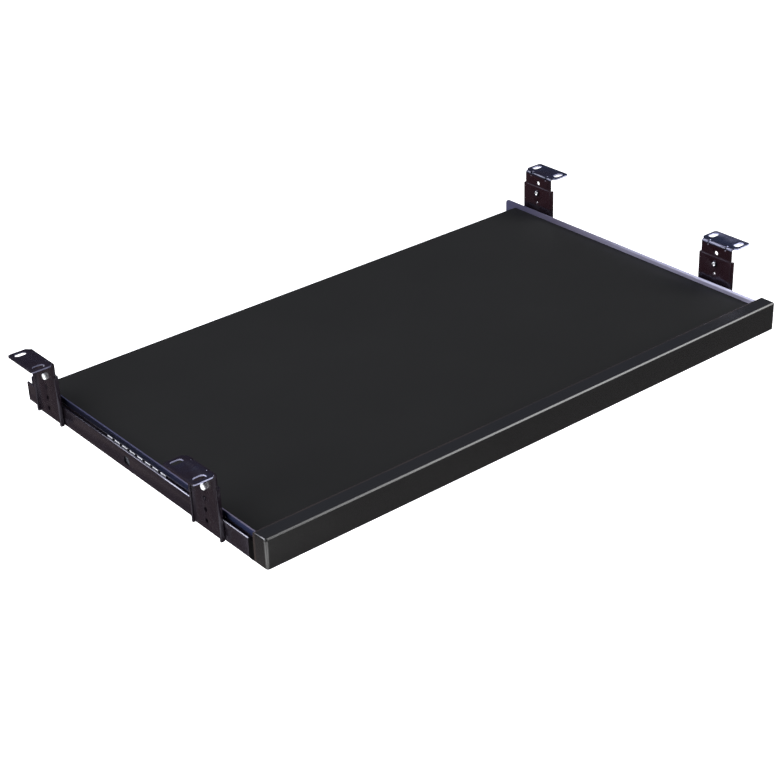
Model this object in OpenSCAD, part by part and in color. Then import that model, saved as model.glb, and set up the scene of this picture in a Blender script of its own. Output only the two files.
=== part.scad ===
/* [Tray] */
// Overall width of the tray, which is the length of its front lip
tray_w = 600; // [450:5:800]
// Depth of the deck behind the front lip, with its rear edge band
deck_depth = 339; // [300:1:360]
// Thickness of the deck board
board_t = 18; // [12:0.5:20]
// Thickness of the band on the rear edge of the board
band_t = 1; // [0.4:0.1:2]
// Thickness of the front lip
lip_t = 17; // [14:0.5:25]
// Height of the front lip
lip_h = 28.2; // [24:0.1:40]
// Rounding radius of the long edges of the lip
lip_edge_r = 2; // [0.5:0.1:4]
// Rounding radius of the upright edges at the ends of the lip
lip_end_r = 2.6; // [0.5:0.1:4]
// Diameter of the wooden dowels between lip and board
dowel_d = 8; // [5:0.5:10]
// How deep each dowel goes into the lip
dowel_in_lip = 11; // [8:0.5:12]
// How deep each dowel goes into the board
dowel_in_board = 19; // [12:1:30]
// Number of dowels
dowel_count = 5; // [3:1:8]
// Distance from the end of the lip to the first dowel
dowel_end = 60; // [40:5:100]

/* [Tray angles] */
// Sheet thickness of the angle that holds the board at each side
angle_t = 1; // [0.8:0.1:1.5]
// Height of the upright leg of the angle
angle_h = 24.7; // [21:0.1:27]
// Width of the shelf of the angle below the board
shelf_w = 26; // [18:1:40]
// How far the angle reaches behind the deck
angle_overhang = 14; // [8:0.5:16]
// Rounding radius of the rear top corner of the upright leg
angle_corner_r = 4.5; // [1:0.5:6]
// Rounding radius of the rear inner corner of the shelf
shelf_corner_r = 8; // [1:1:12]
// Gap between the back of the lip and the front ends of the angles
angle_front_gap = 0.3; // [0.1:0.1:1]
// Shank diameter of the wood screws
wood_screw_d = 3.4; // [2.5:0.1:4]
// Head diameter of the pan head screws below the shelf
shelf_head_d = 7; // [5:0.5:8]
// Head height of the pan head screws below the shelf
shelf_head_h = 2; // [1.5:0.1:3]
// How deep the shelf screws go into the board
shelf_screw_in = 11; // [6:0.5:11]
// Distance from the upright leg to the shelf screws
shelf_screw_u = 14; // [6:0.5:14]
// Number of shelf screws at each side
shelf_screw_count = 4; // [2:1:6]
// Distance from the front of the shelf to its first screw, and from its rear to the last
shelf_screw_end = 38; // [20:1:60]

/* [Fixed rails] */
// Height of the fixed rail
rail_h = 19; // [18.5:0.1:20]
// Sheet thickness of the fixed rail
rail_t = 0.8; // [0.6:0.05:0.9]
// How far the fixed rail reaches behind the rear ends of the tray angles
rail_end_reach = 0.5; // [0:0.5:3]
// Distance from the back of the lip to the front end of the fixed rail
rail_setback = 7; // [5:0.5:10]
// Distance from the end of the lip inward to the outer face of the fixed rail
rail_inset = 0; // [0:0.5:6]
// Distance between the outer faces of fixed rail and tray angle
slide_t = 4.4; // [4.4:0.1:5]
// Diameter of the round access hole in the fixed rail
access_d = 9; // [7:0.5:10]
// Distance of the access hole behind the middle of the fixed rail
access_back = 5; // [0:1:12]
// Distance from the front end of the fixed rail to the tab that stops the cage
stop_inset = 5.9; // [4:0.1:12]
// Length of the buffer at the rear end of the fixed rail
buffer_l = 4; // [3:0.5:6]
// Height of the buffer
buffer_h = 8; // [4:0.5:10]
// Diameter of the stem that holds the buffer in the rail
buffer_stem_d = 3; // [2:0.5:4]

/* [Ball cages] */
// Diameter of the balls
ball_d = 2.4; // [2:0.05:2.4]
// Number of balls in each row
ball_count = 8; // [6:1:9]
// Distance between neighbouring balls
ball_pitch = 11.9; // [10:0.1:12.5]
// Length of each standing tab of the cage
tab_l = 8; // [5:0.5:9]
// How far the tabs stand out above and below the fixed rail
tab_rise = 1.6; // [0.8:0.1:2.5]
// Sheet thickness of the cage
cage_t = 0.4; // [0.3:0.05:0.5]
// Length of the cage beyond its first and last tab
cage_end = 1.85; // [1:0.05:3]

/* [Tray rails] */
// Sheet thickness of the hat shaped rail on the tray angle
hat_t = 0.8; // [0.6:0.05:0.9]
// How far the hat rail starts behind the front end of the tray angle
hat_setback = 2.5; // [1:0.5:6]
// Head diameter of the countersunk screws through the hat rail
side_head_d = 6; // [5:0.5:7]
// Length of the countersunk screws
side_screw_l = 16; // [12:1:25]
// Distance from the rear edge of the board to the last side screw
side_screw_end = 18; // [12:1:40]
// Distance from the lug that meets the cage to the rear end of the hat rail
lug_inset = 19.1; // [4:0.1:30]

/* [Hangers] */
// Drop from the desk to the underside of the tray
drop = 63.5; // [62:0.5:70]
// Distance from the front end of the fixed rail to the middle of the front hangers
front_hanger_in = 53; // [48:1:70]
// Distance from the rear end of the fixed rail to the middle of the rear hangers
rear_hanger_in = 43.5; // [30:0.5:60]
// Width of the hanger
hanger_w = 37.5; // [30:0.5:40]
// Sheet thickness of the hanger
hanger_t = 1.5; // [1.2:0.1:2]
// Reach of the top plate out from the tray
hanger_reach = 24; // [21:0.5:28]
// Height of the lower end of the hanger above the underside of the tray
hanger_foot = 1.5; // [1:0.5:5]
// Inner bend radius of the hanger
bend_r = 1; // [0.5:0.1:2]
// Width of the top plate beyond the bend
plate_w = 44; // [43:0.5:48]
// Rounding radius of the outer corners of the top plate
plate_corner_r = 3; // [1:0.5:6]
// Length of the slots for the desk screws
slot_l = 11.5; // [8:0.5:14]
// Width of the slots
slot_w = 6.5; // [4:0.5:7]
// Distance between the two slots of a hanger
slot_pitch = 32; // [16:1:33]
// Distance from the upright of the hanger out to the middle of its slots
slot_out = 14; // [13:0.5:15]
// Distance between the height holes
hole_pitch = 10.7; // [10:0.1:11]
// Diameter of the height holes
hole_d = 4.5; // [4.3:0.1:5]
// Number of height holes in the hanger
hole_count = 5; // [4:1:5]
// Distance from the desk down to the first height hole
hole_top = 10; // [9:0.5:11]
// Leg length of the pressed gussets in the bend
gusset_leg = 3.5; // [2.5:0.5:6]
// Width of the pressed gussets
gusset_w = 3; // [2:0.5:6]
// Distance of each gusset from the middle of the hanger
gusset_y = 11; // [6:0.5:14]

/* [Channels] */
// Sheet thickness of the channel that carries the fixed rail
channel_t = 1.5; // [1.2:0.1:2]
// Height of the top of the channel above the underside of the tray
channel_top = 49.7; // [48:0.1:51]
// Height of the feet of the channel above the underside of the tray
channel_foot = 0; // [0:0.5:4]
// Depth of the channel's flanges from the rail side
flange_d = 4.6; // [4:0.1:8]
// Rounding radius of the flanges' outer corners
flange_corner_r = 0.8; // [0.5:0.1:2]
// Side play of the hanger between the flanges
channel_play = 0.5; // [0.1:0.05:1]
// Outer bend radius of the channel
channel_r = 1.5; // [0.5:0.1:2]
// Diameter of the flush rivets between channel and fixed rail
rivet_d = 4; // [3:0.5:5]
// Distance of each rivet from the middle of the channel
rivet_y = 11; // [7:0.5:14]

/* [Height screws] */
// Thread diameter of the height screws
screw_d = 4; // [3.5:0.1:4.2]
// Head diameter of the height screws
screw_head_d = 7.5; // [6:0.5:9]
// Head height of the height screws
screw_head_h = 2.2; // [2:0.1:3]
// Diameter of the pressed round nuts on the inner face of the channels
nut_d = 6.6; // [6:0.1:8]
// Thickness of the nuts
nut_h = 1.2; // [0.8:0.1:2]
// How far the screws reach past the nuts
screw_past = 0.3; // [0.1:0.1:1]
// Diameter of the spare hole in the channel, one step below the height screw
spare_d = 3.2; // [2.5:0.1:4]

/* [Clearances] */
// Gap round rivets, screws and dowels in their holes
fit_gap = 0.05; // [0.02:0.01:0.1]
// Running gap between balls and raceways
ball_gap = 0.15; // [0.1:0.01:0.2]
// Gap round each ball in its cage
pocket_gap = 0.1; // [0.05:0.01:0.15]
// Gap between cage and rails
cage_gap = 0.3; // [0.25:0.01:0.35]
// Gap at each end stop
stop_gap = 0.3; // [0.1:0.05:0.5]

/* [Hidden] */
$fn = 48;
eps = 0.01;

// Heights are counted from the underside of the tray, and u counts inward from a fixed rail's face
tray_z = -drop;
rail_face_x = tray_w / 2 - rail_inset;

// Lengths that follow the depth of the deck
rail_len = deck_depth + angle_overhang - rail_setback + rail_end_reach;
hanger_pitch = rail_len - front_hanger_in - rear_hanger_in;
access_y = rail_len / 2 + access_back;

// Places from front to back
deck_y = -hanger_pitch / 2 - front_hanger_in - rail_setback;
lip_y = deck_y - lip_t;
deck_end_y = deck_y + deck_depth;
board_end_y = deck_end_y - band_t;
angle_y = deck_y + angle_front_gap;
angle_end_y = deck_end_y + angle_overhang;
rail_y = deck_y + rail_setback;
rail_end_y = rail_y + rail_len;
hat_y = angle_y + hat_setback;
hat_end_y = rail_end_y - buffer_l - stop_gap;
cage_len = (ball_count - 1) * ball_pitch + tab_l + 2 * cage_end;
stop_t = rail_t;
front_stop_y = rail_y + stop_inset;
lug_y = hat_end_y - lug_inset - stop_t;

// Travel that the stops leave to the tray; the cage goes half as far
travel = lug_y - front_stop_y - stop_t - cage_len - 2 * stop_gap;
cage_y = front_stop_y + stop_t + stop_gap + travel / 2;
cage_end_y = cage_y + cage_len;
first_ball_y = cage_y + cage_end + tab_l / 2;

// Section of the slide
ball_r = ball_d / 2;
ball_u = rail_t + ball_gap + ball_r;
cage_u = ball_u - cage_t / 2;
rail_lip_u = cage_u - cage_gap;
crown_u = cage_u + cage_t + cage_gap;
rim_u = slide_t - hat_t;
lip_bite = sqrt(ball_r * ball_r - (ball_u - rail_lip_u) * (ball_u - rail_lip_u));
ball_low = rail_t + lip_bite + ball_gap;
ball_rows = [ball_low, rail_h - ball_low];
leg_bite = 0.05;
leg_low = ball_low + ball_r - leg_bite;
leg_high = rail_h - leg_low;
rim_rise = 0.3;
rail_mid = rail_h / 2;

// Deck and lip
board_u = slide_t + angle_t;
board_w = 2 * (rail_face_x - board_u);
deck_top = angle_t + board_t;
dowel_z = angle_t + board_t / 2;
dowel_span = tray_w - 2 * dowel_end;

// Heights of the stops of the slide
stop_h = 5;
lug_h = 4;

// Hangers and channels
hanger_u = -channel_t;
channel_w = hanger_w + 2 * channel_play + 2 * channel_t;
hanger_ys = [-hanger_pitch / 2, hanger_pitch / 2];
screw_z = drop - hole_top - hole_pitch;
screw_tip_u = nut_h + screw_past;
rivet_ys = [for (y = hanger_ys) for (s = [-1, 1]) y + s * rivet_y];
side_screw_mid_y = rail_y + access_y;
side_screw_pitch = board_end_y - side_screw_end - side_screw_mid_y;
side_screw_ys = [for (k = [-1:1]) side_screw_mid_y + k * side_screw_pitch];
screw_bore_d = wood_screw_d + 2 * fit_gap;

steel_colour = [0.13, 0.12, 0.16];
zinc_colour = [0.78, 0.79, 0.8];
deck_colour = [0.17, 0.17, 0.17];
wood_colour = [0.76, 0.6, 0.4];
nylon_colour = [0.1, 0.1, 0.1];

// Moves a left side shape, drawn in u, y and height, to its place
module left_side() translate([-rail_face_x, 0, tray_z]) children();

// The same shape mirrored to the right side
module right_side() mirror([1, 0, 0]) left_side() children();

// Extrudes an outline drawn in u and height from front to back
module run_y(y0, y1) translate([0, y1, 0]) rotate([90, 0, 0]) linear_extrude(y1 - y0) children();

// Extrudes an outline drawn in y and height from left to right
module run_x(x0, x1) translate([x0, 0, 0]) rotate([90, 0, 90]) linear_extrude(x1 - x0) children();

// Cylinder along u
module rod_u(u0, u1, d) translate([u0, 0, 0]) rotate([0, 90, 0]) cylinder(h = u1 - u0, d = d);

// Cylinder along y
module rod_y(y0, y1, d) translate([0, y1, 0]) rotate([90, 0, 0]) cylinder(h = y1 - y0, d = d);

// Rectangle with two corners rounded at its far end in the second direction
module end_rounded(a0, b0, a1, b1, r) {
    translate([a0, b0]) square([a1 - a0, b1 - r - b0]);
    translate([a0 + r, b0]) square([a1 - a0 - 2 * r, b1 - b0]);
    for (a = [a0 + r, a1 - r]) translate([a, b1 - r]) circle(r);
}

// Front lip: a laminated bar with softened edges, drilled for the dowels
module front_lip() {
    color(deck_colour) translate([0, 0, tray_z]) difference() {
        intersection() {
            run_x(-tray_w / 2, tray_w / 2) end_rounded(lip_y, 0, deck_y, lip_h, lip_edge_r);
            linear_extrude(lip_h) mirror([0, 1])
                end_rounded(-tray_w / 2, -deck_y, tray_w / 2, -lip_y, lip_end_r);
        }
        dowel_places() rod_y(deck_y - dowel_in_lip - fit_gap, deck_y + 1, dowel_d + 2 * fit_gap);
    }
}

// Puts a dowel shape at each dowel's place along the lip
module dowel_places() {
    for (k = [0:dowel_count - 1])
        translate([-dowel_span / 2 + k * dowel_span / (dowel_count - 1), 0, dowel_z]) children();
}

// Deck board between the two angles
module tray_board() {
    color(deck_colour) translate([0, 0, tray_z]) difference() {
        translate([-board_w / 2, deck_y, angle_t]) cube([board_w, board_end_y - deck_y, board_t]);
        dowel_places() rod_y(deck_y - 1, deck_y + dowel_in_board + fit_gap, dowel_d + 2 * fit_gap);
        for (side = [0, 1]) mirror([side, 0, 0]) translate([-rail_face_x, 0, 0]) {
            shelf_screw_places() cylinder(h = angle_t + shelf_screw_in + fit_gap, d = screw_bore_d);
            side_screw_places() rod_u(board_u - 1, crown_u + side_screw_l + fit_gap, screw_bore_d);
        }
    }
}

// Thin band on the rear edge of the board, with eased upper and lower edges
module rear_edge_band() {
    ease = band_t / 2;
    color(deck_colour) translate([0, 0, tray_z])
        run_x(-board_w / 2, board_w / 2) polygon([
            [board_end_y, angle_t],
            [deck_end_y - ease, angle_t],
            [deck_end_y, angle_t + ease],
            [deck_end_y, deck_top - ease],
            [deck_end_y - ease, deck_top],
            [board_end_y, deck_top]
        ]);
}

// Wooden dowels between lip and board
module lip_dowels() {
    color(wood_colour) translate([0, 0, tray_z])
        dowel_places() rod_y(deck_y - dowel_in_lip, deck_y + dowel_in_board, dowel_d);
}

// Places of the screws that come up through the shelf of the left angle
module shelf_screw_places() {
    span = angle_end_y - angle_y - 2 * shelf_screw_end;
    for (k = [0:shelf_screw_count - 1])
        translate([slide_t + shelf_screw_u, angle_y + shelf_screw_end + k * span / (shelf_screw_count - 1)])
            children();
}

// Places of the screws that go sideways through the left tray rail
module side_screw_places() {
    for (y = side_screw_ys) translate([0, y, rail_mid]) children();
}

// Angle that carries the board: an upright leg beside it and a shelf below it
module tray_angle() {
    difference() {
        union() {
            run_x(slide_t, slide_t + angle_t) polygon(leg_outline());
            linear_extrude(angle_t) polygon(shelf_outline());
        }
        shelf_screw_places() translate([0, 0, -1]) cylinder(h = angle_t + 2, d = screw_bore_d);
        side_screw_places() rod_u(slide_t - 1, board_u + 1, screw_bore_d);
    }
}

// Points of a quarter round from one compass angle, a quarter turn on
function corner_arc(centre, r, start) = [for (k = [0:8])
    [centre[0] + r * cos(start + k * 90 / 8), centre[1] + r * sin(start + k * 90 / 8)]];

// Outline of the upright leg in y and height, with its rear top corner rounded
function leg_outline() = concat(
    [[angle_y, 0], [angle_end_y, 0]],
    corner_arc([angle_end_y - angle_corner_r, angle_h - angle_corner_r], angle_corner_r, 0),
    [[angle_y, angle_h]]);

// Outline of the shelf in u and y, with its rear inner corner rounded
function shelf_outline() = concat(
    [[slide_t, angle_y], [slide_t + shelf_w, angle_y]],
    corner_arc([slide_t + shelf_w - shelf_corner_r, angle_end_y - shelf_corner_r], shelf_corner_r, 0),
    [[slide_t, angle_end_y]]);

module left_tray_angle() color(steel_colour) left_side() tray_angle();

module right_tray_angle() color(steel_colour) right_side() tray_angle();

// Pan head screw that stands on its head below the shelf
module shelf_screw() {
    translate([0, 0, -shelf_head_h]) cylinder(h = shelf_head_h, d1 = shelf_head_d * 0.72, d2 = shelf_head_d);
    cylinder(h = angle_t + shelf_screw_in, d = wood_screw_d);
}

module shelf_screws() {
    color(zinc_colour) {
        left_side() shelf_screw_places() shelf_screw();
        right_side() shelf_screw_places() shelf_screw();
    }
}

// Section of the hat shaped tray rail, with a raceway for each row of balls
module hat_section() {
    difference() {
        union() {
            translate([rim_u, rim_rise]) square([hat_t, leg_low + hat_t - rim_rise]);
            translate([rim_u, leg_high - hat_t]) square([hat_t, rail_h + rim_rise - leg_high + hat_t]);
            translate([crown_u, leg_low]) square([hat_t, leg_high - leg_low]);
            for (z = [leg_low, leg_high - hat_t])
                translate([crown_u, z]) square([slide_t - crown_u, hat_t]);
        }
        raceways();
    }
}

// Rounds that the balls roll in, with their running gap
module raceways() {
    for (z = ball_rows) translate([ball_u, z]) circle(ball_r + ball_gap);
}

// Hat shaped rail on the tray angle, with the lug that meets the cage when the tray is pulled out
module tray_rail() {
    difference() {
        union() {
            run_y(hat_y, hat_end_y) hat_section();
            translate([rail_t + cage_gap, lug_y, rail_mid - lug_h / 2])
                cube([crown_u - rail_t - cage_gap + eps, stop_t, lug_h]);
        }
        side_screw_places() {
            rod_u(crown_u - 1, slide_t + 1, screw_bore_d);
            side_head(fit_gap);
        }
    }
}

// Countersunk head whose flat face lies flush with the crown of the tray rail
module side_head(gap) {
    head_h = (side_head_d - wood_screw_d) / 2;
    translate([crown_u, 0, 0]) rotate([0, 90, 0])
        cylinder(h = head_h, d1 = side_head_d + 2 * gap, d2 = wood_screw_d + 2 * gap);
}

module left_tray_rail() color(steel_colour) left_side() tray_rail();

module right_tray_rail() color(steel_colour) right_side() tray_rail();

// Countersunk screw from the tray rail into the edge of the board
module side_screw() {
    side_head(0);
    rod_u(crown_u + eps, crown_u + side_screw_l, wood_screw_d);
}

module side_screws() {
    color(zinc_colour) {
        left_side() side_screw_places() side_screw();
        right_side() side_screw_places() side_screw();
    }
}

// Strip with a standing tab over and under each ball, and a round pocket for it
module ball_cage() {
    band_low = rail_t / 2;
    color(zinc_colour) difference() {
        union() {
            translate([cage_u, cage_y, band_low]) cube([cage_t, cage_len, rail_h - 2 * band_low]);
            for (k = [0:ball_count - 1])
                translate([cage_u, first_ball_y + k * ball_pitch - tab_l / 2, -tab_rise])
                    cube([cage_t, tab_l, rail_h + 2 * tab_rise]);
        }
        ball_places() rod_u(-cage_t, cage_t, ball_d + 2 * pocket_gap);
        for (k = [0:ball_count - 2])
            translate([0, first_ball_y + (k + 0.5) * ball_pitch, rail_mid])
                rod_u(cage_u - 1, cage_u + cage_t + 1, rail_h / 4);
    }
}

// Places of both rows of balls
module ball_places() {
    for (k = [0:ball_count - 1]) for (z = ball_rows)
        translate([ball_u, first_ball_y + k * ball_pitch, z]) children();
}

module balls() color(zinc_colour) ball_places() sphere(r = ball_r);

module left_ball_cage() left_side() ball_cage();

module right_ball_cage() right_side() ball_cage();

module left_balls() left_side() balls();

module right_balls() right_side() balls();

// Section of the fixed rail: a web with a short flange at its top and bottom
module rail_section() {
    difference() {
        union() {
            square([rail_t, rail_h]);
            for (z = [0, rail_h - rail_t]) translate([0, z]) square([rail_lip_u, rail_t]);
            for (z = ball_rows) translate([rail_t, z < rail_mid ? rail_t : rail_h - 2 * rail_t])
                square([(rail_lip_u - rail_t) / 2, rail_t]);
        }
        raceways();
        for (z = [0, rail_h]) translate([0, z]) rail_corner(z);
    }
}

// What the outer bend takes off a corner of the fixed rail
module rail_corner(z) {
    r = rail_t;
    s = z > 0 ? -1 : 1;
    difference() {
        translate([-eps, min(0, s * r) - eps]) square([r + eps, r + 2 * eps]);
        translate([r, s * r]) circle(r);
    }
}

// Fixed rail with its access hole, rivet holes and the tab that stops the cage
module fixed_rail() {
    difference() {
        union() {
            run_y(rail_y, rail_end_y) rail_section();
            translate([rail_t - eps, front_stop_y, rail_mid - stop_h / 2])
                cube([cage_u + cage_t - rail_t + eps, stop_t, stop_h]);
        }
        translate([0, rail_y + access_y, rail_mid]) rod_u(-1, rail_t + 1, access_d);
        rivet_places() rod_u(-1, rail_t + 1, rivet_d + 2 * fit_gap);
        buffer_place() rod_u(-1, rail_t + 1, buffer_stem_d + 2 * fit_gap);
    }
}

// Places of the rivets of both left channels
module rivet_places() {
    for (y = rivet_ys) translate([0, y, rail_mid]) children();
}

// Place of the buffer's stem
module buffer_place() translate([0, rail_end_y - buffer_l / 2, rail_mid]) children();

module left_fixed_rail() color(steel_colour) left_side() fixed_rail();

module right_fixed_rail() color(steel_colour) right_side() fixed_rail();

// Buffer that the tray rail meets when the tray is pushed in, held by a stem in the web
module buffer() {
    translate([rail_t, rail_end_y - buffer_l, rail_mid - buffer_h / 2])
        cube([rim_u - cage_gap - rail_t, buffer_l, buffer_h]);
    buffer_place() rod_u(0, rail_t + eps, buffer_stem_d);
}

module left_buffer() color(nylon_colour) left_side() buffer();

module right_buffer() color(nylon_colour) right_side() buffer();

// Plug between the front end of the fixed rail and the lip, held by a tongue between the rail's flanges
module end_plug() {
    head_l = rail_setback - stop_gap;
    tongue_low = 2 * rail_t + fit_gap;
    translate([0, rail_y - head_l, 0]) cube([crown_u - cage_gap, head_l, rail_h]);
    translate([rail_t, rail_y - eps, tongue_low])
        cube([rail_lip_u - rail_t, stop_inset - stop_gap + eps, rail_h - 2 * tongue_low]);
}

module left_end_plug() color(nylon_colour) left_side() end_plug();

module right_end_plug() color(nylon_colour) right_side() end_plug();

// Rivet whose two ends lie flush with the channel and with the inside of the rail
module rail_rivets() {
    color(steel_colour) {
        left_side() rivet_places() rod_u(-channel_t, rail_t, rivet_d);
        right_side() rivet_places() rod_u(-channel_t, rail_t, rivet_d);
    }
}

// Plan of the channel: a web on the fixed rail and two flanges that point outward
module channel_plan() {
    difference() {
        union() {
            translate([-flange_d, -channel_w / 2]) square([flange_d - channel_r, channel_w]);
            translate([-channel_r - eps, -channel_w / 2 + channel_r])
                square([channel_r + eps, channel_w - 2 * channel_r]);
            for (s = [-1, 1]) translate([-channel_r, s * (channel_w / 2 - channel_r)]) circle(channel_r);
        }
        translate([-flange_d - 1, -channel_w / 2 + channel_t])
            square([flange_d + 1 - channel_t, channel_w - 2 * channel_t]);
    }
}

// Channel with the hole of its height screw, the spare hole below and its rivet holes
module channel(y) {
    translate([0, y, 0]) difference() {
        intersection() {
            translate([0, 0, channel_foot]) linear_extrude(channel_top - channel_foot) channel_plan();
            run_y(-channel_w, channel_w) rotate(90)
                end_rounded(channel_foot, -1, channel_top, flange_d, flange_corner_r);
        }
        translate([0, 0, screw_z]) rod_u(-channel_t - 1, 1, screw_d + 2 * fit_gap);
        translate([0, 0, screw_z - hole_pitch]) rod_u(-channel_t - 1, 1, spare_d);
        for (s = [-1, 1]) translate([0, s * rivet_y, rail_mid])
            rod_u(-channel_t - 1, 1, rivet_d + 2 * fit_gap);
    }
}

module front_left_channel() color(steel_colour) left_side() channel(hanger_ys[0]);

module front_right_channel() color(steel_colour) right_side() channel(hanger_ys[0]);

module rear_left_channel() color(steel_colour) left_side() channel(hanger_ys[1]);

module rear_right_channel() color(steel_colour) right_side() channel(hanger_ys[1]);

// Section of the hanger: an upright and a top plate that reaches outward, joined by a bend
module hanger_section() {
    outer_r = bend_r + hanger_t;
    inner_u = hanger_u - hanger_t;
    difference() {
        union() {
            translate([inner_u, hanger_foot]) square([hanger_t, drop - hanger_foot]);
            translate([hanger_u - hanger_reach, drop - hanger_t]) square([hanger_reach, hanger_t]);
            translate([inner_u - bend_r, drop - hanger_t - bend_r]) square(bend_r + eps);
        }
        translate([inner_u - bend_r, drop - hanger_t - bend_r]) circle(bend_r);
        difference() {
            translate([hanger_u - outer_r, drop - outer_r]) square(outer_r + 1);
            translate([hanger_u - outer_r, drop - outer_r]) circle(outer_r);
        }
    }
}

// Plan of the hanger: the upright's width at the bend, then shoulders out to the top plate
module hanger_plan() {
    ear = (plate_w - hanger_w) / 2;
    bend_end = bend_r + hanger_t;
    translate([-hanger_w / 2, -1]) square([hanger_w, bend_end + 1 + eps]);
    polygon([
        [-hanger_w / 2, bend_end],
        [hanger_w / 2, bend_end],
        [plate_w / 2, bend_end + ear],
        [-plate_w / 2, bend_end + ear]
    ]);
    end_rounded(-plate_w / 2, bend_end + ear - eps, plate_w / 2, hanger_reach, plate_corner_r);
}

// Hanger with its slots, its row of height holes and two pressed gussets
module hanger(y) {
    inner_u = hanger_u - hanger_t;
    notch_leg = gusset_leg + (sqrt(2) - 1) * hanger_t;
    translate([0, y, 0]) difference() {
        union() {
            intersection() {
                run_y(-plate_w / 2, plate_w / 2) hanger_section();
                translate([hanger_u, 0, 0]) rotate([0, 0, 90]) linear_extrude(drop) hanger_plan();
            }
            for (s = [-1, 1]) translate([0, s * gusset_y, 0]) run_y(-gusset_w / 2, gusset_w / 2) polygon([
                [inner_u + eps, drop - hanger_t + eps],
                [inner_u - gusset_leg, drop - hanger_t + eps],
                [inner_u + eps, drop - hanger_t - gusset_leg]
            ]);
        }
        for (s = [-1, 1]) translate([0, s * gusset_y, 0]) run_y(-gusset_w / 4, gusset_w / 4) polygon([
            [hanger_u + 1, drop + 1],
            [hanger_u - notch_leg - 1, drop + 1],
            [hanger_u + 1, drop - notch_leg - 1]
        ]);
        for (k = [0:hole_count - 1]) translate([0, 0, drop - hole_top - k * hole_pitch])
            rod_u(inner_u - 1, hanger_u + 1, hole_d);
        for (s = [-1, 1]) translate([hanger_u - slot_out, s * slot_pitch / 2, drop - hanger_t - 1]) slot();
    }
}

// Slot for a desk screw, long across the tray
module slot() {
    half = (slot_l - slot_w) / 2;
    for (u = [-half, half]) translate([u, 0, 0]) cylinder(h = hanger_t + 2, d = slot_w);
    translate([-half, -slot_w / 2, 0]) cube([2 * half, slot_w, hanger_t + 2]);
}

module front_left_hanger() color(steel_colour) left_side() hanger(hanger_ys[0]);

module front_right_hanger() color(steel_colour) right_side() hanger(hanger_ys[0]);

module rear_left_hanger() color(steel_colour) left_side() hanger(hanger_ys[1]);

module rear_right_hanger() color(steel_colour) right_side() hanger(hanger_ys[1]);

// Places of the height screws of both left hangers
module screw_places() {
    for (y = hanger_ys) translate([0, y, screw_z]) children();
}

// Pan head screw through hanger and channel
module height_screw() {
    head_u = hanger_u - hanger_t;
    crown_h = screw_head_h * 0.35;
    recess_l = screw_head_d * 0.56;
    recess_w = screw_head_d * 0.11;
    recess_d = screw_head_h * 0.5;
    difference() {
        union() {
            rod_u(head_u - screw_head_h + crown_h, head_u, screw_head_d);
            translate([head_u - screw_head_h, 0, 0]) rotate([0, 90, 0])
                cylinder(h = crown_h + eps, d1 = screw_head_d * 0.7, d2 = screw_head_d);
        }
        for (a = [0, 90]) rotate([a, 0, 0])
            translate([head_u - screw_head_h - 1, -recess_l / 2, -recess_w / 2])
                cube([recess_d + 1, recess_l, recess_w]);
    }
    rod_u(head_u - eps, screw_tip_u, screw_d);
}

module height_screws() {
    color(zinc_colour) {
        left_side() screw_places() height_screw();
        right_side() screw_places() height_screw();
    }
}

// Low round nut pressed on the inner face of the channel
module height_nut() {
    difference() {
        rod_u(0, nut_h, nut_d);
        rod_u(-1, nut_h + 1, screw_d + 2 * fit_gap);
    }
}

module height_nuts() {
    color(steel_colour) {
        left_side() screw_places() height_nut();
        right_side() screw_places() height_nut();
    }
}

front_lip();
tray_board();
rear_edge_band();
lip_dowels();
left_tray_angle();
right_tray_angle();
shelf_screws();
left_tray_rail();
right_tray_rail();
side_screws();
left_ball_cage();
left_balls();
right_ball_cage();
right_balls();
left_fixed_rail();
right_fixed_rail();
left_buffer();
right_buffer();
left_end_plug();
right_end_plug();
front_left_channel();
front_right_channel();
rear_left_channel();
rear_right_channel();
front_left_hanger();
front_right_hanger();
rear_left_hanger();
rear_right_hanger();
rail_rivets();
height_screws();
height_nuts();
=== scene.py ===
import math

import bpy
from mathutils import Matrix, Vector


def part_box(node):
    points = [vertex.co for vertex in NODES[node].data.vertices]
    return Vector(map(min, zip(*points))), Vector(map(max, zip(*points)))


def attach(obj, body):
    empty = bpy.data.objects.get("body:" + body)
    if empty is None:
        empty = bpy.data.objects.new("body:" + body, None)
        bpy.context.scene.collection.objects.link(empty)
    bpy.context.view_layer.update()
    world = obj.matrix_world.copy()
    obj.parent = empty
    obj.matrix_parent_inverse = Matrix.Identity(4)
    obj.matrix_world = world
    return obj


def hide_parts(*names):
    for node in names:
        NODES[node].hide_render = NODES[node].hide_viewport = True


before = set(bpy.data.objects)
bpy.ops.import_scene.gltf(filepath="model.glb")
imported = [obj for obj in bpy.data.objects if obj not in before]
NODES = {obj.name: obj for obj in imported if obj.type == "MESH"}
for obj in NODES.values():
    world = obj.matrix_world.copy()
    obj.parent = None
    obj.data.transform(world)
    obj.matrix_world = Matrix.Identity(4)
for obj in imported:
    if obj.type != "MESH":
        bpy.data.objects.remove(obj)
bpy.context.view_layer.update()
MM = 0.001

# Camera, lights and floor

CAMERA_PLACE = Vector((-0.918195, -1.140476, 0.709045))
CAMERA_RIGHT = Vector((0.770354, -0.636677, -0.034593))
CAMERA_DOWN = Vector((-0.331147, -0.353132, -0.875008))
CAMERA_LENS = 80.847
SENSOR_WIDTH = 36.0
CLIP_START = 0.05
CLIP_END = 50.0

TRAY_MIDDLE = Vector((0.0, -0.1, -0.04))
FLOOR_Z = -1.8
FLOOR_SIZE = 24.0

WHITE = (1.0, 1.0, 1.0)
COOL_WHITE = (0.90, 0.92, 1.0)
# Distances of the panels from the tray in metres
FAR = 4.0
NEAR = 2.2
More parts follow.
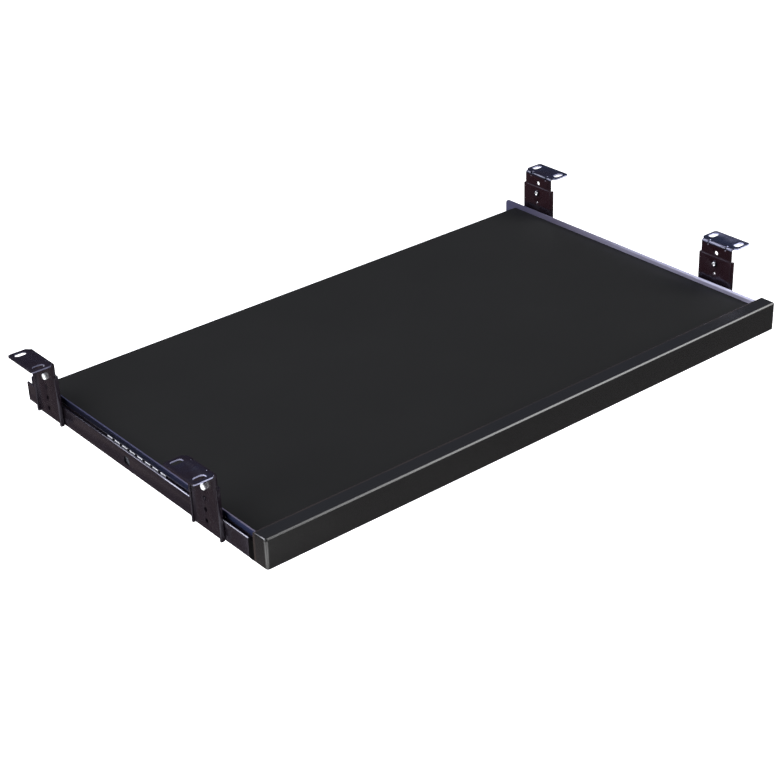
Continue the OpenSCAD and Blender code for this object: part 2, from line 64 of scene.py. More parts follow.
# Panels: name, direction from the tray, distance, width and height in metres, brightness, colour
PANELS = (
    ("overhead_right_box", (0.60, -0.05, 0.79), FAR, (1.8, 2.8), 4.0, WHITE),
    ("high_front_right_box", (0.60, -0.43, 0.67), FAR, (2.3, 2.3), 5.5, WHITE),
    ("front_right_box", (0.60, -0.72, 0.32), FAR, (2.8, 2.0), 5.0, WHITE),
    ("rear_left_box", (-0.44, 0.64, 0.63), FAR, (3.2, 2.0), 8.0, COOL_WHITE),
    ("left_box", (-0.95, 0.05, 0.30), FAR, (3.0, 2.0), 5.0, WHITE),
    ("low_left_box", (-0.86, 0.02, -0.52), NEAR, (1.6, 0.8), 1.9, WHITE),
    ("low_front_left_box", (-0.62, -0.50, -0.58), NEAR, (2.6, 0.9), 1.9, WHITE),
    ("low_front_box", (-0.16, -0.83, -0.53), NEAR, (1.6, 0.8), 1.9, WHITE),
)
# Energy of a panel for each square metre and unit of brightness
PANEL_ENERGY = 4.0

# Colours of the studio dome, from straight down at 0 through the horizon at 0.5 to straight up at 1
DOME_STOPS = (
    (0.0, (0.120, 0.098, 0.101)),
    (0.49, (0.120, 0.098, 0.101)),
    (0.53, (0.052, 0.058, 0.098)),
    (0.84, (0.064, 0.073, 0.122)),
    (0.95, (0.30, 0.31, 0.34)),
    (1.0, (0.45, 0.45, 0.47)),
)


def set_camera():
    """Camera that was fitted to the photograph's lines."""
    data = bpy.data.cameras.new("photo_camera")
    data.sensor_width = SENSOR_WIDTH
    data.lens = CAMERA_LENS
    data.clip_start = CLIP_START
    data.clip_end = CLIP_END
    camera = bpy.data.objects.new("photo_camera", data)
    bpy.context.scene.collection.objects.link(camera)
    right, up = CAMERA_RIGHT.normalized(), -CAMERA_DOWN.normalized()
    turn = Matrix((right, up, right.cross(up))).transposed()
    camera.matrix_world = Matrix.Translation(CAMERA_PLACE) @ turn.to_4x4()
    bpy.context.scene.camera = camera


def add_panel(name, direction, distance, size, brightness, colour):
    """Soft light panel that faces the tray and that the camera doesn't see."""
    data = bpy.data.lights.new(name, "AREA")
    data.shape = "RECTANGLE"
    data.size, data.size_y = size
    data.energy = brightness * PANEL_ENERGY * size[0] * size[1]
    data.color = colour
    panel = bpy.data.objects.new(name, data)
    bpy.context.scene.collection.objects.link(panel)
    towards = Vector(direction).normalized()
    panel.location = TRAY_MIDDLE + towards * distance
    panel.rotation_euler = (-towards).to_track_quat("-Z", "Y").to_euler()
    panel.visible_camera = False


# Shader maths

EVEN = (1.0, 1.0, 1.0)


class Level:
    """A node's output. Maths on it adds Math nodes."""

    def __init__(self, recipe, socket):
        self.recipe = recipe
        self.socket = socket

    def _do(self, operation, *values):
        return self.recipe.node("ShaderNodeMath", {"operation": operation}, dict(enumerate(values)))

    def __add__(self, other):
        return self._do("ADD", self, other)

    def __sub__(self, other):
        return self._do("SUBTRACT", self, other)

    def __rsub__(self, other):
        return self._do("SUBTRACT", other, self)

    def __mul__(self, other):
        return self._do("MULTIPLY", self, other)

    def __pow__(self, other):
        return self._do("POWER", self, other)

    def __abs__(self):
        return self._do("ABSOLUTE", self)

    __radd__ = __add__
    __rmul__ = __mul__

    def between(self, start, end):
        """Mask that goes from 0 at the start to 1 at the end, and stays there beyond them."""
        values = {"Value": self, "From Min": start, "From Max": end}
        return self.recipe.node("ShaderNodeMapRange", {"clamp": True}, values)


class Recipe:
    """A node tree that is built one node at a time."""

    def __init__(self, tree):
        self.tree = tree

    def node(self, kind, settings=None, values=None, output=0):
        """Adds a node: its settings first, then the values or links of its sockets."""
        made = self.tree.nodes.new(kind)
        for key, value in (settings or {}).items():
            if key == "stops":
                elements = made.color_ramp.elements
                for _ in value[2:]:
                    elements.new(0.5)
                for element, (at, colour) in zip(elements, value):
                    element.position = at
                    element.color = (*colour, 1.0)
            else:
                setattr(made, key, value)
        for socket, value in (values or {}).items():
            self.feed(made.inputs[socket], value)
        return Level(self, made.outputs[output])

    def feed(self, socket, value):
        if isinstance(value, Level):
            self.tree.links.new(value.socket, socket)
        else:
            socket.default_value = value


class Finish(Recipe):
    """A material whose colour, roughness and relief are built from procedural nodes."""

    def __init__(self, name, **fixed):
        self.material = bpy.data.materials.new(name)
        self.material.use_nodes = True
        super().__init__(self.material.node_tree)
        self.shader = next(node for node in self.tree.nodes if node.type == "BSDF_PRINCIPLED")
        for socket, value in fixed.items():
            self.shader.inputs[socket.replace("_", " ")].default_value = value
        self.place = self.node("ShaderNodeTexCoord", output="Object")

    def axis(self, letter):
        """Place along one axis of the frame."""
        return self.node("ShaderNodeSeparateXYZ", values={0: self.place}, output=letter)

    def noise(self, per_metre, detail, stretch=EVEN):
        """Cloudy pattern with that many cells in a metre, denser along an axis by its stretch."""
        at = self.node("ShaderNodeMapping", values={"Vector": self.place, "Scale": stretch})
        values = {"Vector": at, "Scale": per_metre, "Detail": detail, "Roughness": 0.55}
        return self.node("ShaderNodeTexNoise", values=values)

    def grain(self, per_metre):
        """Cells of an embossed or pressed surface."""
        values = {"Vector": self.place, "Scale": per_metre}
        return self.node("ShaderNodeTexVoronoi", {"feature": "SMOOTH_F1"}, values)

    def colour(self, level, *shades):
        """Base colour that runs through the shades as the level goes from 0 to 1."""
        stops = [(k / (len(shades) - 1), shade) for k, shade in enumerate(shades)]
        ramp = self.node("ShaderNodeValToRGB", {"stops": stops}, {"Fac": level})
        self.feed(self.shader.inputs["Base Color"], ramp)

    def rough(self, level):
        self.feed(self.shader.inputs["Roughness"], level)

    def relief(self, level, depth_mm, strength):
        values = {"Height": level, "Distance": depth_mm * MM, "Strength": strength}
        self.feed(self.shader.inputs["Normal"], self.node("ShaderNodeBump", values=values, output="Normal"))


def set_sky():
    """Studio dome, dimmer at the right and the front, which the camera sees as plain white."""
    world = bpy.data.worlds.new("studio")
    bpy.context.scene.world = world
    world.use_nodes = True
    world.node_tree.nodes.clear()
    sky = Recipe(world.node_tree)
    towards = sky.node("ShaderNodeTexCoord", output="Generated")
    x, y, z = (sky.node("ShaderNodeSeparateXYZ", values={0: towards}, output=letter) for letter in "XYZ")
    colour = sky.node("ShaderNodeValToRGB", {"stops": DOME_STOPS}, {"Fac": z.between(-1.0, 1.0)})
    strength = (1.0 - x.between(0.40, 0.75) * 0.2) * (0.35 + y.between(-0.6, 0.4) * 0.65)
    dome = sky.node("ShaderNodeBackground", values={"Color": colour, "Strength": strength})
    backdrop = sky.node("ShaderNodeBackground", values={"Color": (*WHITE, 1.0)})
    seen = sky.node("ShaderNodeLightPath", output="Is Camera Ray")
    mixed = sky.node("ShaderNodeMixShader", values={0: seen, 1: dome, 2: backdrop})
    out = world.node_tree.nodes.new("ShaderNodeOutputWorld")
    sky.feed(out.inputs["Surface"], mixed)


# Finishes

LACQUER_COAT = {"Specular_Tint": (0.80, 0.74, 1.0, 1.0), "Coat_Weight": 0.25, "Coat_Roughness": 0.12}
BLUE_GLOSS = (0.82, 0.80, 1.0, 1.0)
# Brown of a line along the back top edge of the lip
BACK_EDGE_BROWN = (0.030, 0.022, 0.019)
# Distance from the middle plane at which one side's tone has changed to the other's
SIDE_BLEND = 0.01


def grey(value):
    return (value, value, value)


def laminate(name, ior, dark, pale, gloss, back_edge_y=None):
    """Satin black laminate: a fine pressed pore over an even charcoal, and a brown line along the back top
    edge where it has one.
    """
    finish = Finish(name, IOR=ior)
    pore = finish.grain(1400.0)
    cloud = finish.noise(9.0, 3.0).between(0.3, 0.7)
    fine = finish.noise(2600.0, 1.0)
    back_edge_line = 0.0 if back_edge_y is None else finish.axis("Y").between(back_edge_y - 3.0 * MM, back_edge_y - 2.3 * MM)
    finish.colour((cloud * 0.6 + fine * 0.4 + back_edge_line) * 0.5, grey(dark), grey(pale), BACK_EDGE_BROWN)
    finish.rough(gloss + pore * 0.04 + cloud * 0.03)
    finish.relief(pore + fine * 0.5, 0.010, 0.5)
    return finish


def deck_foil():
    return laminate("deck_foil", 1.1, 0.0104, 0.0116, 0.45)


def lip_foil():
    """The laminate drawn round the lip, glossier, with a brown line along its back top edge."""
    return laminate("lip_foil", 1.5, 0.0088, 0.0096, 0.20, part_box("front_lip")[1].y)


def edge_band():
    """Edge strip of the deck, a touch smoother than the laminate."""
    finish = Finish("edge_band", IOR=1.5)
    streak = finish.noise(60.0, 2.0, (1.0, 30.0, 30.0))
    fine = finish.noise(2200.0, 1.0)
    finish.colour(streak, (0.0088, 0.0088, 0.0092), (0.0125, 0.0125, 0.0128))
    finish.rough(0.34 + fine * 0.08)
    finish.relief(streak + fine, 0.01, 0.5)
    return finish


def black_steel():
    """Gloss lacquer on sheet steel, with orange peel and a violet cast in the gloss."""
    finish = Finish("black_steel", IOR=1.52, **LACQUER_COAT)
    cloud = finish.noise(28.0, 3.0)
    peel = finish.noise(900.0, 1.0)
    dust = finish.noise(5200.0, 0.0).between(0.66, 0.80)
    finish.colour(cloud.between(0.3, 0.7) * 0.8 + dust * 0.2,
                  (0.0044, 0.0034, 0.0054), (0.0066, 0.0052, 0.0080), (0.020, 0.017, 0.021))
    finish.rough(0.20 + cloud.between(0.35, 0.7) * 0.08 + dust * 0.2)
    finish.relief(peel, 0.02, 0.5)
    return finish


def bracket_steel():
    """Gloss lacquer of hangers and channels, with a painted reflection that makes the plates paler and
    bluer, painted highlights on bends and cut edges, and a painted reddish reflection on the uprights at the
    right.
    """
    finish = Finish("bracket_steel", IOR=1.5, Specular_Tint=BLUE_GLOSS, Coat_Weight=0.1, Coat_Roughness=0.15)
    cloud = finish.noise(34.0, 3.0)
    peel = finish.noise(900.0, 1.0)
    dust = finish.noise(5200.0, 0.0).between(0.68, 0.80)
    low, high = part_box("front_right_hanger")
    x, y, z = (finish.axis(letter) for letter in "XYZ")
    out = abs(x) - low.x
    right = x.between(0.0, SIDE_BLEND)
    near = y.between(0.12, -0.12)
    sheet = 1.5 * MM
    bend_out = 2.4 * MM
    plate = out.between(bend_out, bend_out + 0.6 * MM) * z.between(-sheet - 0.1 * MM, -sheet)
    bend = right * out.between(bend_out, 1.6 * MM) * z.between(-2.7 * MM, -1.9 * MM)
    rim_out = high.x - low.x - 0.3 * MM
    inside = z.between(-0.05 * MM, -0.15 * MM) * z.between(-sheet, -sheet + 0.1 * MM)
    sheared = inside * out.between(2.6 * MM, 3.2 * MM) * out.between(rim_out, rim_out - 0.6 * MM)
    # Uprights at the right get a painted reddish reflection and less cloud
    red = right * z.between(-2.9 * MM, -3.3 * MM) * z.between(-38.0 * MM, -33.0 * MM)
    tone = cloud.between(0.3, 0.7) * (0.19 - red * 0.13) + dust * 0.024
    # Painted sky reflection on the top plates, paler towards the front and at the right
    flat = plate * (near * 0.11 + right * 0.24)
    # Painted highlights on the bends at the right and on the cut edges of the plates, brightest towards the
    # front
    painted_highlights = bend * (0.35 + near * 0.16) + sheared * (0.34 + near * 0.08)
    # Shades: painted reddish reflection, two lacquer tones, painted bluish plate reflection, then two
    # painted highlight shades
    finish.colour(tone + flat + painted_highlights + 0.2 - red * 0.2,
                  (0.0120, 0.0030, 0.0044), (0.0044, 0.0026, 0.0042), (0.0062, 0.0038, 0.0058),
                  (0.0080, 0.0100, 0.0220), (0.13, 0.13, 0.19), (0.50, 0.52, 0.72))
    finish.rough(0.23 + cloud.between(0.35, 0.7) * 0.06 + dust * 0.2)
    finish.relief(peel, 0.015, 0.5)
    return finish


def rail_steel():
    """Lacquer of the fixed rails, with a painted highlight along the rolled top edge, brightest at the
    front.
    """
    finish = Finish("rail_steel", IOR=1.52, **LACQUER_COAT)
    cloud = finish.noise(28.0, 3.0)
    peel = finish.noise(900.0, 1.0)
    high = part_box("right_fixed_rail")[1]
    crest = finish.axis("Z").between(high.z - 0.7 * MM, high.z - 0.4 * MM)
    rolled_edge_highlight = crest * abs(finish.axis("X")).between(high.x - 1.1 * MM, high.x - 0.7 * MM)
    near = finish.axis("Y").between(-0.045, -0.070)
    # Painted highlight along the rolled top edge, brightest towards the front
    finish.colour(cloud.between(0.3, 0.7) * 0.28 + rolled_edge_highlight * (0.13 + near * 0.57),
                  (0.0054, 0.0040, 0.0056), (0.0076, 0.0058, 0.0082), (0.12, 0.12, 0.15), (0.55, 0.55, 0.62))
    finish.rough(0.20 + cloud.between(0.35, 0.7) * 0.08)
    finish.relief(peel, 0.02, 0.5)
    return finish


def angle_steel():
    """Violet passivation, drawn lengthwise, with a painted reflection that makes it paler at the right,
    towards the lip and along the top edge.
    """
    finish = Finish("angle_steel", Metallic=0.45, IOR=1.25)
    drawn = finish.noise(90.0, 3.0, (8.0, 0.5, 8.0))
    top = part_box("left_tray_angle")[1].z
    deck_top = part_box("tray_board")[1].z
    x, y, z = (finish.axis(letter) for letter in "XYZ")
    near = y.between(0.17, -0.185)
    rim = z.between(top - 2.6 * MM, top - 1.6 * MM)
    edge = z.between(top - 0.7 * MM, top - 0.35 * MM)
    # Painted reflection on the left angle, paler towards the lip, with a painted highlight along the top
    # edge
    left = near ** 3.0 * 0.20 + edge * (0.30 + near * 0.05)
    # Painted reflection on the right angle's upright, paler overall and towards the lip, with a painted
    # highlight band along the top
    right = near.between(0.0, 0.5) * 0.38 + rim * near.between(0.3, 0.8) * 0.26 + 0.32
    upright = z.between(deck_top - 9.0 * MM, deck_top - 7.0 * MM)
    on_right = x.between(-SIDE_BLEND, SIDE_BLEND) * upright
    finish.colour(left + (right - left) * on_right + drawn * 0.04,
                  (0.004, 0.004, 0.008), (0.023, 0.031, 0.082), (0.11, 0.10, 0.15), (0.26, 0.25, 0.34),
                  (0.62, 0.62, 0.80))
    finish.rough(0.34 + drawn * 0.10)
    finish.relief(drawn, 0.008, 0.4)
    return finish


def dark_screw():
    """Blackened wood screw."""
    finish = Finish("dark_screw", IOR=1.1)
    cloud = finish.noise(420.0, 2.0)
    finish.colour(cloud, grey(0.002), (0.005, 0.005, 0.004))
    finish.rough(0.40 + cloud * 0.15)
    finish.relief(cloud, 0.01, 0.4)
    return finish


def zinc():
    """Bright zinc plating with faint mottling."""
    finish = Finish("zinc", Metallic=0.4)
    cloud = finish.noise(420.0, 3.0)
    finish.colour(cloud, (0.72, 0.74, 0.77), (0.86, 0.87, 0.88), grey(0.93))
    finish.rough(0.30 + cloud * 0.16)
    finish.relief(finish.noise(2600.0, 2.0), 0.01, 0.4)
    return finish


def cage_zinc():
    """Plated strip, drawn lengthwise, with a painted highlight along the tops of its tabs and painted shade
    below them.
    """
    finish = Finish("cage_zinc", Metallic=0.5)
    drawn = finish.noise(140.0, 2.0, (6.0, 0.6, 8.0))
    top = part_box("left_ball_cage")[1].z
    crest = finish.axis("Z").between(top - 1.0 * MM, top - 0.5 * MM)
    # Painted highlight on the tab tops over painted shade below them
    finish.colour(drawn * 0.15 + crest * 0.85, (0.07, 0.075, 0.09), (0.26, 0.27, 0.30), (0.86, 0.87, 0.90))
    finish.rough(0.30 + drawn * 0.14)
    finish.relief(drawn, 0.008, 0.4)
    return finish


def ball_steel():
    """Ground steel with a film of grease."""
    finish = Finish("ball_steel", Metallic=1.0)
    film = finish.noise(700.0, 2.0)
    finish.colour(film, (0.62, 0.60, 0.56), grey(0.86))
    finish.rough(0.08 + film * 0.14)
    finish.relief(film, 0.004, 0.3)
    return finish


def nylon():
    """Moulded dark nylon with a spark eroded texture."""
    finish = Finish("nylon", IOR=1.1)
    spark = finish.grain(2400.0)
    finish.colour(spark, grey(0.0012), grey(0.0028))
    finish.rough(0.45 + spark * 0.15)
    finish.relief(spark, 0.02, 0.6)
    return finish


def beech():
    """Raw beech with its flecks along the dowel."""
    finish = Finish("beech", IOR=1.5)
    fleck = finish.noise(260.0, 3.0, (3.0, 0.35, 3.0))
    finish.colour(fleck, (0.42, 0.26, 0.14), (0.60, 0.42, 0.25), (0.68, 0.50, 0.32))
    finish.rough(0.6 + fleck * 0.15)
    finish.relief(fleck, 0.03, 0.6)
    return finish


def floor_paper():
    """Pale backdrop paper."""
    finish = Finish("floor_paper", IOR=1.3, Emission_Color=(*WHITE, 1.0), Emission_Strength=0.95)
    fibre = finish.noise(3.0, 4.0)
    finish.colour(fibre, grey(0.90), grey(0.92))
    finish.rough(0.85 + fibre * 0.1)
    finish.relief(finish.noise(700.0, 2.0), 0.02, 0.1)
    return finish


FINISHES = {make.__name__: make().material for make in (
    deck_foil, lip_foil, edge_band, black_steel, bracket_steel, rail_steel, angle_steel, dark_screw,
    zinc, cage_zinc, ball_steel, nylon, beech)}


# Modelling

# Corners closer than this are one corner
TOUCHING = 1e-6
# Corners closer than this lie on the same face
FLUSH = 0.01 * MM
# Edges between faces that turn by more degrees than this are eased, and shade as sharp
SHARP = 35.0


def deselect():
    bpy.ops.object.select_all(action="DESELECT")


def activate(piece):
    deselect()
    piece.select_set(True)
    bpy.context.view_layer.objects.active = piece


def edit(piece, mode="EDGE"):
    activate(piece)
    bpy.ops.object.mode_set(mode="EDIT")
    bpy.ops.mesh.select_mode(type=mode)


def leave():
    bpy.ops.object.mode_set(mode="OBJECT")


def pick(piece, kind, wanted):
    """Selects, in edit mode, the edges or faces that a test accepts."""
    bpy.ops.mesh.select_all(action="DESELECT")
    bpy.ops.object.mode_set(mode="OBJECT")
    for part in getattr(piece.data, kind):
        part.select = wanted(part)
    bpy.ops.object.mode_set(mode="EDIT")


def pick_whole():
    bpy.ops.mesh.select_all(action="SELECT")


def weld():
    """Merges, in edit mode, the corners that touch."""
    pick_whole()
    bpy.ops.mesh.remove_doubles(threshold=TOUCHING)


def face_outwards():
    pick_whole()
    bpy.ops.mesh.normals_make_consistent(inside=False)


def corners(piece, edge):
    return [piece.data.vertices[k].co for k in edge.vertices]


def modify(piece, kind, **settings):
    """Adds a modifier and applies it."""
    activate(piece)
    modifier = piece.modifiers.new(kind.lower(), kind)
    for key, value in settings.items():
        setattr(modifier, key, value)
    bpy.ops.object.modifier_apply(modifier=modifier.name)


def cut(piece, cutter):
    """Takes another piece's shape out of a piece and deletes that other piece."""
    modify(piece, "BOOLEAN", operation="DIFFERENCE", object=cutter, solver="EXACT")
    bpy.data.objects.remove(cutter)


def smooth(piece, degrees):
    activate(piece)
    bpy.ops.object.shade_smooth_by_angle(angle=math.radians(degrees))


def settle(piece):
    """Puts the place of a piece into its mesh."""
    activate(piece)
    bpy.ops.object.transform_apply(location=True, rotation=True, scale=True)


def twin_of(piece, name):
    """Copy of a piece with its own mesh."""
    twin = bpy.data.objects.new(name, piece.data.copy())
    bpy.context.scene.collection.objects.link(twin)
    return twin


def turned(piece, place, axis):
    """Copy of a piece modelled along +z, set at a place and pointing along an axis."""
    twin = twin_of(piece, piece.name)
    twin.matrix_world = Matrix.Translation(place) @ Vector(axis).to_track_quat("Z", "Y").to_matrix().to_4x4()
    settle(twin)
    return twin


def join(pieces):
    deselect()
    for piece in pieces:
        piece.select_set(True)
    bpy.context.view_layer.objects.active = pieces[0]
    bpy.ops.object.join()
    return pieces[0]


def dress(piece, name, body, slot, node, finish=None):
    """Names a finished piece, gives it its finish and lets it ride on its body in its CAD node's stead."""
    settle(piece)
    piece.name = piece.data.name = name
    piece.data.materials.clear()
    piece.data.materials.append(FINISHES[finish or slot])
    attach(piece, body)
    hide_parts(node)


def box_piece(low, high):
    """Block between two corners."""
    deselect()
    low, high = Vector(low), Vector(high)
    bpy.ops.mesh.primitive_cube_add(size=1.0, location=(low + high) / 2)
    block = bpy.context.object
    block.scale = high - low
    settle(block)
    return block


def rod_piece(foot, radius, length, sides):
    """Upright rod that stands on a place."""
    deselect()
    middle = Vector(foot) + Vector((0.0, 0.0, length / 2))
    bpy.ops.mesh.primitive_cylinder_add(vertices=sides, radius=radius, depth=length, location=middle)
    rod = bpy.context.object
    settle(rod)
    return rod


def ease_edges(piece, wanted, width_mm, steps):
    """Rounds the picked edges in edit mode."""
    edit(piece)
    pick(piece, "edges", wanted)
    bpy.ops.mesh.bevel(offset=width_mm * MM, segments=steps, affect="EDGES")
    leave()


def eased(node, name, body, slot, width_mm, finish=None):
    """Copy of a CAD node with its flat faces made whole and its sharp edges eased."""
    piece = twin_of(NODES[node], name)
    edit(piece)
    bpy.ops.mesh.customdata_custom_splitnormals_clear()
    weld()
    bpy.ops.mesh.dissolve_limited(angle_limit=math.radians(0.5))
    leave()
    modify(piece, "BEVEL", width=width_mm * MM, segments=2, limit_method="ANGLE",
           angle_limit=math.radians(SHARP), use_clamp_overlap=True)
    smooth(piece, SHARP)
    dress(piece, name, body, slot, node, finish)


# Lip, angles and slides

def front_lip():
    """Wrapped bar with rounded front corners, a rounded top rim and an eased bottom rim."""
    low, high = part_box("front_lip")
    bar = box_piece(low, high)

    def front_corner(edge):
        a, b = corners(bar, edge)
        return abs(a.z - b.z) > FLUSH and max(a.y, b.y) < low.y + FLUSH

    def top_rim(edge):
        return min(corner.z for corner in corners(bar, edge)) > high.z - FLUSH

    def bottom_rim(edge):
        return max(corner.z for corner in corners(bar, edge)) < low.z + FLUSH

    ease_edges(bar, front_corner, width_mm=2.6, steps=10)
    ease_edges(bar, top_rim, width_mm=2.0, steps=8)
    ease_edges(bar, bottom_rim, width_mm=0.5, steps=3)
    smooth(bar, 40.0)
    dress(bar, "front_lip_bar", "tray", "deck_foil", "front_lip", finish="lip_foil")


def tray_angle(side):
    """Sheet angle that holds the board."""
    eased(side + "_tray_angle", side + "_board_angle", "tray", "black_steel", width_mm=0.25,
          finish="angle_steel")


def tray_rail(side):
    """Inner member of the slide."""
    eased(side + "_tray_rail", side + "_hat_rail", "tray", "black_steel", width_mm=0.10)


def fixed_rail(side):
    """Outer member of the slide."""
    eased(side + "_fixed_rail", side + "_slide_rail", "slide_frame", "black_steel", width_mm=0.12,
          finish="rail_steel")


def ball_cage(side):
    """Strip that keeps the balls apart."""
    eased(side + "_ball_cage", side + "_cage_strip", side + "_cage", "cage_zinc", width_mm=0.06)


def buffer(side):
    """Stop at the rear of the fixed rail."""
    eased(side + "_buffer", side + "_stop_buffer", "slide_frame", "nylon", width_mm=0.3)


def end_plug(side):
    """Plug in the front end of the fixed rail."""
    eased(side + "_end_plug", side + "_rail_plug", "slide_frame", "nylon", width_mm=0.25)


def channel(corner):
    """Channel that holds the fixed rail and embraces the hanger."""
    eased(corner + "_channel", corner + "_rail_channel", "slide_frame", "black_steel", width_mm=0.2,
          finish="bracket_steel")


def hanger(corner):
    """Bent bracket that is screwed under the desk."""
    eased(corner + "_hanger", corner + "_desk_hanger", "slide_frame", "black_steel", width_mm=0.6,
          finish="bracket_steel")


# Fixings

# Rise of each ring of a pan head as a share of its height, and how much narrower it ends
HEAD_RINGS = ((0.42, 1.0), (0.22, 0.95), (0.18, 0.88), (0.12, 0.78), (0.06, 0.62))
HEAD_SIDES = 40
# Cross recess: its reach in head radii, an arm's half width in reaches, its depth in head heights
RECESS_REACH = 0.56
RECESS_ARM = 0.17
RECESS_DEPTH = 0.55
# How its floor shrinks along and across an arm
RECESS_TAPER = (0.55, 0.7, 1.0)

# Thread: its depth in pitches, and its flank as (share of the depth, height in pitches)
THREAD_DEPTH = 0.61
THREAD_FLANK = ((0.0, 0.0), (1.0, 0.44), (1.0, 0.56), (0.0, 1.0))
THREAD_STEPS = 24

HEIGHT_HEAD_R = 3.0 * MM
HEIGHT_HEAD_H = 1.8 * MM
# How far the head's seat lies below the outer face of the CAD screw
HEIGHT_SEAT = 2.2 * MM
HEIGHT_SHANK_R = 2.0 * MM
HEIGHT_PITCH = 0.7 * MM
NUT_BORE_R = HEIGHT_SHANK_R * 1.02
SHELF_HEAD_H = 2.0 * MM
SHELF_SHANK_R = 1.7 * MM


def pan_head(radius, height):
    """Domed screw head that stands on z = 0 and looks up, with a tapered cross recess."""
    deselect()
    bpy.ops.mesh.primitive_circle_add(vertices=HEAD_SIDES, radius=radius, fill_type="NGON")
    head = bpy.context.object
    edit(head, "FACE")
    pick_whole()
    for rise, shrink in HEAD_RINGS:
        bpy.ops.mesh.extrude_region_move(TRANSFORM_OT_translate={"value": (0, 0, rise * height)})
        bpy.ops.transform.resize(value=(shrink, shrink, 1.0))
    face_outwards()
    leave()
    reach = radius * RECESS_REACH
    arm = reach * RECESS_ARM
    depth = height * RECESS_DEPTH
    for turn in (0.0, 90.0):
        recess = box_piece((-reach, -arm, height - depth), (reach, arm, height + depth))
        edit(recess, "FACE")
        pick(recess, "polygons", lambda face: face.normal.z < -0.9)
        bpy.ops.transform.resize(value=RECESS_TAPER)
        leave()
        recess.rotation_euler.z = math.radians(turn)
        settle(recess)
        cut(head, recess)
    smooth(head, 38.0)
    return head


def screw_thread(radius, pitch, length):
    """Threaded shank along +z from z = 0: one turn of the thread's flank, wound by a screw modifier."""
    depth = THREAD_DEPTH * pitch
    deselect()
    bpy.ops.mesh.primitive_plane_add(size=MM)
    shank = bpy.context.object
    edit(shank, "VERT")
    pick_whole()
    bpy.ops.mesh.delete(type="VERT")
    leave()
    flank = [(radius - depth + share * depth, 0.0, rise * pitch) for share, rise in THREAD_FLANK]
    shank.data.from_pydata(flank, [(0, 1), (1, 2), (2, 3)], [])
    turns = max(1, math.ceil(length / pitch) - 1)
    modify(shank, "SCREW", axis="Z", angle=math.tau, screw_offset=pitch, iterations=turns,
           steps=THREAD_STEPS, render_steps=THREAD_STEPS, use_merge_vertices=True, merge_threshold=TOUCHING)
    edit(shank)
    weld()
    bpy.ops.mesh.bisect(plane_co=(0, 0, pitch), plane_no=(0, 0, 1), use_fill=True, clear_inner=True)
    pick_whole()
    bpy.ops.mesh.bisect(plane_co=(0, 0, length), plane_no=(0, 0, 1), use_fill=True, clear_outer=True)
    face_outwards()
    leave()
    smooth(shank, 30.0)
    return shank


def parts_of(node):
    """Boxes of the separate solids of a CAD node, as (lowest corner, highest corner)."""
    probe = twin_of(NODES[node], "probe")
    edit(probe)
    weld()
    bpy.ops.mesh.separate(type="LOOSE")
    leave()
    boxes = []
    for part in list(bpy.context.selected_objects):
        rows = list(zip(*(vertex.co for vertex in part.data.vertices)))
        boxes.append((Vector(min(row) for row in rows), Vector(max(row) for row in rows)))
        bpy.data.objects.remove(part)
    return sorted(boxes, key=lambda box: (round(box[0].x, 4), round(box[0].y, 4)))


def outer_face(low, high):
    """Middle of the side of a box that looks away from the tray, and the way it looks."""
    middle = (low + high) / 2
    if middle.x < 0:
        return Vector((low.x, middle.y, middle.z)), Vector((-1.0, 0.0, 0.0))
    return Vector((high.x, middle.y, middle.z)), Vector((1.0, 0.0, 0.0))


def height_screws():
    """Pan head screws that hold the hangers to the channels."""
    boxes = parts_of("height_screws")
    low, high = boxes[0]
    head = pan_head(HEIGHT_HEAD_R, HEIGHT_HEAD_H)
    thread = screw_thread(HEIGHT_SHANK_R, HEIGHT_PITCH, high.x - low.x - HEIGHT_SEAT)
    made = []
    for low, high in boxes:
        face, out = outer_face(low, high)
        seat = face - out * HEIGHT_SEAT
        made += [turned(head, seat, out), turned(thread, seat, -out)]
    bpy.data.objects.remove(head)
    bpy.data.objects.remove(thread)
    dress(join(made), "height_pan_screws", "slide_frame", "zinc", "height_screws")


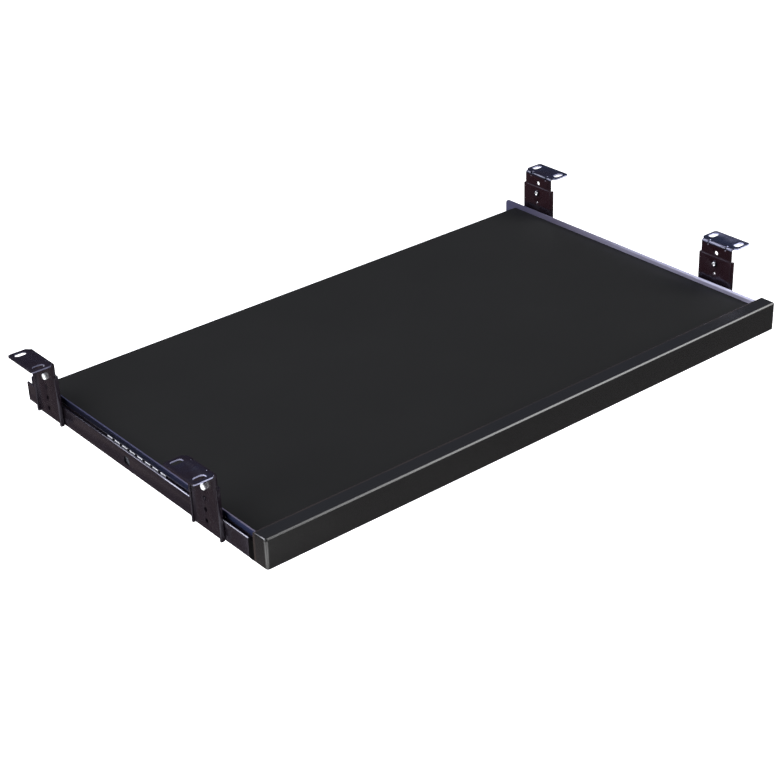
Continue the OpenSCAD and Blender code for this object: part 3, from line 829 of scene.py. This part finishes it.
def height_nuts():
    """Low round nuts that the height screws are driven into, eased at their inner ends."""
    boxes = parts_of("height_nuts")
    low, high = boxes[0]
    thick = high.x - low.x
    nut = rod_piece((0, 0, 0), (high.z - low.z) / 2, thick, sides=48)

    def inner_rim(edge):
        return min(corner.z for corner in corners(nut, edge)) > thick - FLUSH

    ease_edges(nut, inner_rim, width_mm=0.35, steps=3)
    cut(nut, rod_piece((0, 0, -thick), NUT_BORE_R, 3 * thick, sides=32))
    smooth(nut, 30.0)
    made = []
    for low, high in boxes:
        face, out = outer_face(low, high)
        made.append(turned(nut, face, -out))
    bpy.data.objects.remove(nut)
    dress(join(made), "height_round_nuts", "slide_frame", "black_steel", "height_nuts")


def shelf_screws():
    """Pan heads below the shelves, on plain shanks that go up into the board."""
    boxes = parts_of("shelf_screws")
    low, high = boxes[0]
    head = pan_head((high.x - low.x) / 2, SHELF_HEAD_H)
    made = []
    for low, high in boxes:
        middle = (low + high) / 2
        seat = Vector((middle.x, middle.y, low.z + SHELF_HEAD_H))
        made.append(turned(head, seat, (0, 0, -1)))
        made.append(rod_piece(seat, SHELF_SHANK_R, high.z - seat.z, sides=24))
    bpy.data.objects.remove(head)
    dress(join(made), "shelf_pan_screws", "tray", "zinc", "shelf_screws")


# The whole scene

# CAD nodes that are shown as they are, with their finishes
PLAIN_NODES = {
    "tray_board": "deck_foil",
    "rear_edge_band": "edge_band",
    "lip_dowels": "beech",
    "side_screws": "dark_screw",
    "left_balls": "ball_steel",
    "right_balls": "ball_steel",
    "rail_rivets": "black_steel",
}


def build():
    front_lip()
    for side in ("left", "right"):
        for make in (tray_angle, tray_rail, fixed_rail, ball_cage, buffer, end_plug):
            make(side)
        for end in ("front", "rear"):
            channel(end + "_" + side)
            hanger(end + "_" + side)
    height_screws()
    height_nuts()
    shelf_screws()
    for node, finish in PLAIN_NODES.items():
        for holder in NODES[node].material_slots:
            holder.material = FINISHES[finish]


def set_stage():
    deselect()
    bpy.ops.mesh.primitive_plane_add(size=FLOOR_SIZE, location=(0, 0, FLOOR_Z))
    floor = bpy.context.object
    floor.name = "floor"
    floor.data.materials.append(floor_paper().material)
    floor.visible_glossy = False
    for panel in PANELS:
        add_panel(*panel)


bpy.context.scene.view_settings.view_transform = "Standard"
set_camera()
set_sky()
build()
set_stage()
